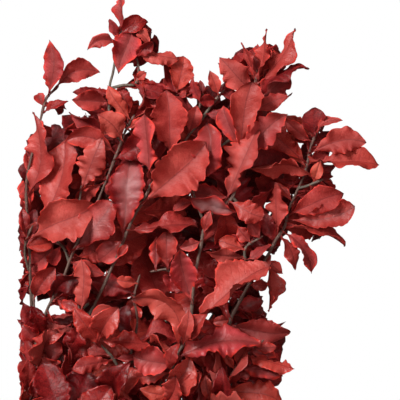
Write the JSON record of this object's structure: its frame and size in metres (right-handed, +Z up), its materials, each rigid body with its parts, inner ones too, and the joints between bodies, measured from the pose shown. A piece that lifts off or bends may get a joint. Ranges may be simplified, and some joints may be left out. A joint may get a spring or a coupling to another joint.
{
  "type": "preserved pittosporum bunch",
  "caption": "Tied bunch of preserved pittosporum, dyed red: cut leafy stems with wavy-edged leaves, fanning from an elastic band, lying on its side.",
  "frame": {"origin": "on the surface that the bunch lies on, under the middle of its box", "axes": "+Y along the bunch from the cut ends to the leaf tips, +Z up from the surface, +X across"},
  "size_m": [0.2332, 0.6236, 0.112],
  "materials": {
    "leaf_red": "satin preserved leaf, dyed red, with brighter margins",
    "twig_bark": "thin dull bark, dark grey-brown with a dull red stain",
    "band": "matt natural rubber"
  },
  "bodies": {
    "root": {"leafy_stem_left_edge": "leaf_red", "leafy_stem_left": "leaf_red", "leafy_stem_centre_left": "leaf_red", "leafy_stem_centre_low": "leaf_red", "leafy_stem_centre": "leaf_red", "leafy_stem_right_low": "leaf_red", "leafy_stem_right": "leaf_red", "leafy_stem_back_left": "leaf_red", "leafy_stem_back_centre": "leaf_red", "leafy_stem_back_right": "leaf_red", "elastic_band": "band"}
  },
  "joints": []
}
